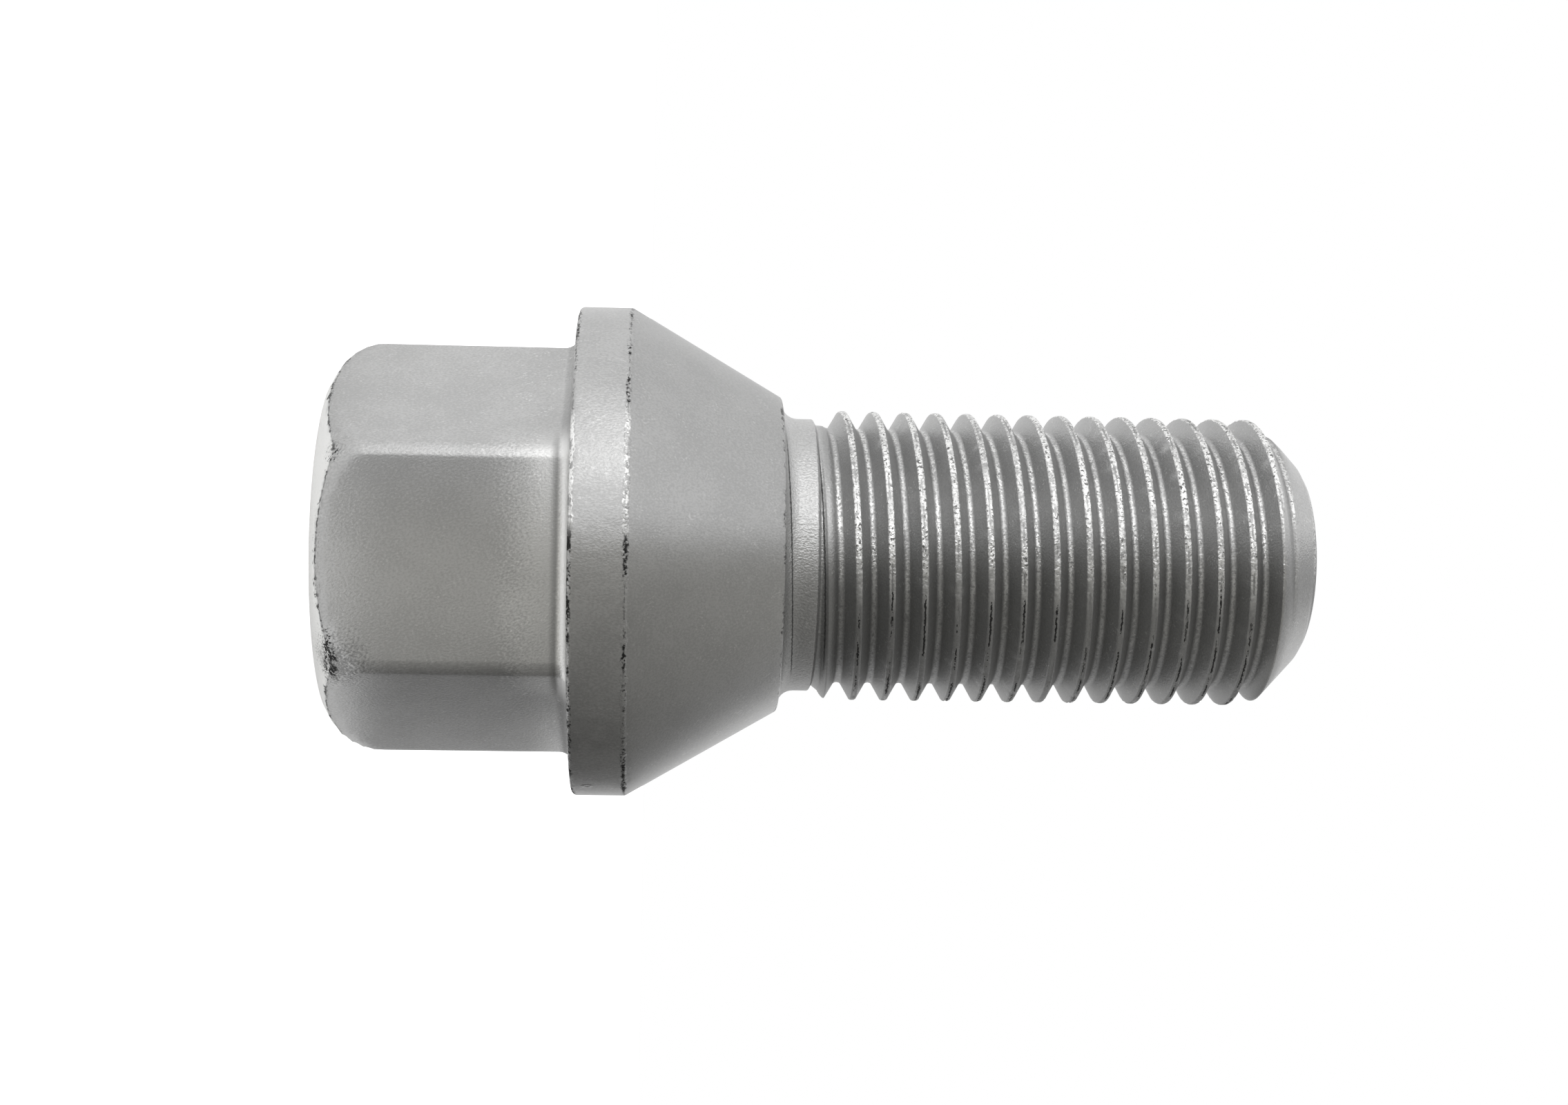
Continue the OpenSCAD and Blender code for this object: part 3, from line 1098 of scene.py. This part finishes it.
# Studio: a white room, a soft box above the camera and a dim screen round the lower front, in metres
studio = {
    # places are directions: along the bolt, upwards and towards the camera
    "keySize": (0.15, 0.26),
    "keyPower": 0.14,
    "keyPlace": (0.0, 0.67, 0.74),
    "keyDistance": 0.2,
    "screenRadius": 0.024,
    "screenHeight": 0.075,
    "screenColumns": 96,
    "screenLift": 0.0002,
    "screenPlace": (0.0, -0.95, 0.33),
    "screenOpening": -0.01,
    # share of the peak at angles about the bolt, measured upwards from the camera, at three heights
    "screenPeak": 1.25,
    "screenShades": [
        (0.0092, [
            (-160, 0.96), (-132, 0.9), (-118, 0.62), (-100, 0.24), (-75, 0.06), (-55, 0.085),
            (-35, 0.22), (-12, 0.39), (4, 0.35), (12, 0.31), (20, 0.32),
        ]),
        (0.0102, [
            (-160, 0.96), (-132, 0.92), (-118, 0.95), (-104, 0.75), (-90, 0.15), (-70, 0.05), (-53, 0.07),
            (-38, 0.115), (-24, 0.17), (-12, 0.24), (1, 0.34), (7.5, 0.85), (13, 1), (20, 1),
        ]),
        (0.04, [
            (-160, 0.75), (-132, 0.75), (-112, 0.55), (-88, 0.35), (-55, 0.38), (-30, 0.36),
            (-12, 0.3), (1, 0.3), (7.5, 0.45), (13, 0.7), (20, 0.8),
        ]),
    ],
    "screenTint": (1, 0.985, 0.925),
    # angles where the tint sets in and goes
    "screenWarm": (-75, 5),
    # the lower edge of the screen, up to this height, turns in over the floor to this radius
    "screenEdge": 0.001,
    "screenFoot": 0.015,
    "plateSize": 0.12,
    "plateHeight": 0.072,
    "plateRise": 0.003,
    "plateLevel": 0.34,
    "floorSize": 4,
    "floorColor": (0.9, 0.9, 0.9),
    "floorGlow": 0.33,
    "floorWhite": 0.75,
    "roughness": 0.9,
    # strength of the white room, in the light it gives and as it is seen
    "roomLevels": (0.8, 1),
}
black = (0, 0, 0)
white = (1, 1, 1, 1)


def wayTo(place):
    along, up, near = viewBasis()
    return (along * place[0] + up * place[1] + near * place[2]).normalized()


def addSoftBox():
    middle = Vector((0, 0, boltSize["total"] / 2 * mm))
    way = wayTo(studio["keyPlace"])
    bpy.ops.object.light_add(type="AREA", location=middle + way * studio["keyDistance"])
    lamp = bpy.context.object
    lamp.name = "soft_box"
    lamp.data.shape = "RECTANGLE"
    lamp.data.size, lamp.data.size_y = studio["keySize"]
    lamp.data.energy = studio["keyPower"]
    lamp.rotation_euler = way.to_track_quat("Z", "Y").to_euler()


def plainMaterial(name, color):
    material = bpy.data.materials.new(name)
    material.use_nodes = True
    tree = material.node_tree
    shader = tree.nodes["Principled BSDF"]
    setInputs(tree, shader, {"Base Color": (*color, 1), "Roughness": studio["roughness"]})
    return material, tree, shader


def mirrorOnly(piece):
    piece.visible_camera = False
    piece.visible_diffuse = False
    piece.visible_shadow = False


def shadeRamp(tree, value, shades):
    # level against the angle, warm on the side of the camera
    s = studio
    ramp = newNode(tree, "ValToRGB", (value,))
    stops = ramp.color_ramp.elements
    while len(stops) < len(shades):
        stops.new(0.5)
    low, high = shades[0][0], shades[-1][0]
    for stop, (angle, level) in zip(stops, shades):
        warm = s["screenWarm"][0] < angle < s["screenWarm"][1]
        stop.position = (angle - low) / (high - low)
        stop.color = (*(level * (t if warm else 1) for t in s["screenTint"]), 1)
    return ramp.outputs[0]


def screenMaterial():
    material, tree, shader = plainMaterial("dim_screen", black)
    x, y, z = newNode(tree, "SeparateXYZ", (newNode(tree, "TexCoord").outputs["Object"],)).outputs
    turn = calc(tree, "ARCTAN2", y, x)
    # the shades count upwards from the camera, and these angles the other way round
    near = viewBasis()[2]
    camera = math.degrees(math.atan2(near.y, near.x))
    color, last = None, None
    for height, shades in studio["screenShades"]:
        ends = (math.radians(camera - shades[i][0]) for i in (0, -1))
        here = shadeRamp(tree, remap(tree, turn, *ends), shades)
        if color is not None:
            here = blend(tree, remap(tree, z, last, height), color, here)
        color, last = here, height
    setInputs(tree, shader, {"Emission Color": color, "Emission Strength": studio["screenPeak"]})
    return material


def addScreen():
    # stands outside the picture, and only what the coat mirrors shows it
    s = studio
    bpy.ops.mesh.primitive_cylinder_add(
        vertices=s["screenColumns"], radius=s["screenRadius"], depth=s["screenHeight"],
        end_fill_type="NOTHING", location=(0, 0, s["screenHeight"] / 2 + s["screenLift"]),
    )
    screen = bpy.context.object
    screen.name = "dim_screen"
    bpy.ops.object.transform_apply(location=True, rotation=True, scale=True)
    for vertex in screen.data.vertices:
        vertex.select = vertex.co.z < s["screenEdge"]
    bpy.ops.object.mode_set(mode="EDIT")
    bpy.ops.mesh.select_mode(type="EDGE")
    bpy.ops.mesh.extrude_region_move()
    share = s["screenFoot"] / s["screenRadius"]
    bpy.ops.transform.resize(value=(share, share, 1), center_override=(0, 0, 0))
    bpy.ops.mesh.select_mode(type="VERT")
    bpy.ops.mesh.select_all(action="SELECT")
    way = wayTo(s["screenPlace"])
    cut = way * s["screenRadius"] * s["screenOpening"]
    bpy.ops.mesh.bisect(plane_co=cut, plane_no=way, clear_inner=True)
    bpy.ops.object.mode_set(mode="OBJECT")
    screen.data.materials.append(screenMaterial())
    mirrorOnly(screen)


def addTipPlate():
    # beyond the tip and mostly below the axis, for what the tip's chamfer mirrors
    s = studio
    along, up, near = viewBasis()
    middle = along * s["plateHeight"] + up * (s["plateRise"] - s["plateSize"] / 2)
    bpy.ops.mesh.primitive_plane_add(size=s["plateSize"], location=middle)
    plate = bpy.context.object
    plate.name = "tip_plate"
    bpy.ops.object.transform_apply(location=True, rotation=True, scale=True)
    material, tree, shader = plainMaterial("tip_plate", black)
    setInputs(tree, shader, {"Emission Color": white, "Emission Strength": s["plateLevel"]})
    plate.data.materials.append(material)
    mirrorOnly(plate)


def seenRays(tree):
    # camera, glossy and transmission rays together
    path = newNode(tree, "LightPath").outputs
    seen = calc(tree, "ADD", path["Is Camera Ray"], path["Is Glossy Ray"], clamp=True)
    return calc(tree, "ADD", seen, path["Is Transmission Ray"], clamp=True)


def addFloor():
    s = studio
    bpy.ops.mesh.primitive_plane_add(size=s["floorSize"], location=(0, 0, 0))
    floor = bpy.context.object
    floor.name = "floor"
    material, tree, shader = plainMaterial("floor", s["floorColor"])
    # whiter for the camera than in what the coat mirrors
    camera = newNode(tree, "LightPath").outputs["Is Camera Ray"]
    glow = times(tree, seenRays(tree), s["floorGlow"])
    glow = timesPlus(tree, camera, s["floorWhite"] - s["floorGlow"], glow)
    setInputs(tree, shader, {"Emission Color": white, "Emission Strength": glow})
    floor.data.materials.append(material)


def lightWorld():
    world = bpy.data.worlds.new("studio")
    bpy.context.scene.world = world
    world.use_nodes = True
    tree = world.node_tree
    strength = remap(tree, seenRays(tree), 0, 1, *studio["roomLevels"])
    setInputs(tree, tree.nodes["Background"], {"Color": white, "Strength": strength})


addSoftBox()
addScreen()
addTipPlate()
addFloor()
lightWorld()
print("studio: soft box, screen of", len(studio["screenShades"]), "heights, plate, floor and room")

bpy.context.scene.view_settings.view_transform = "Standard"
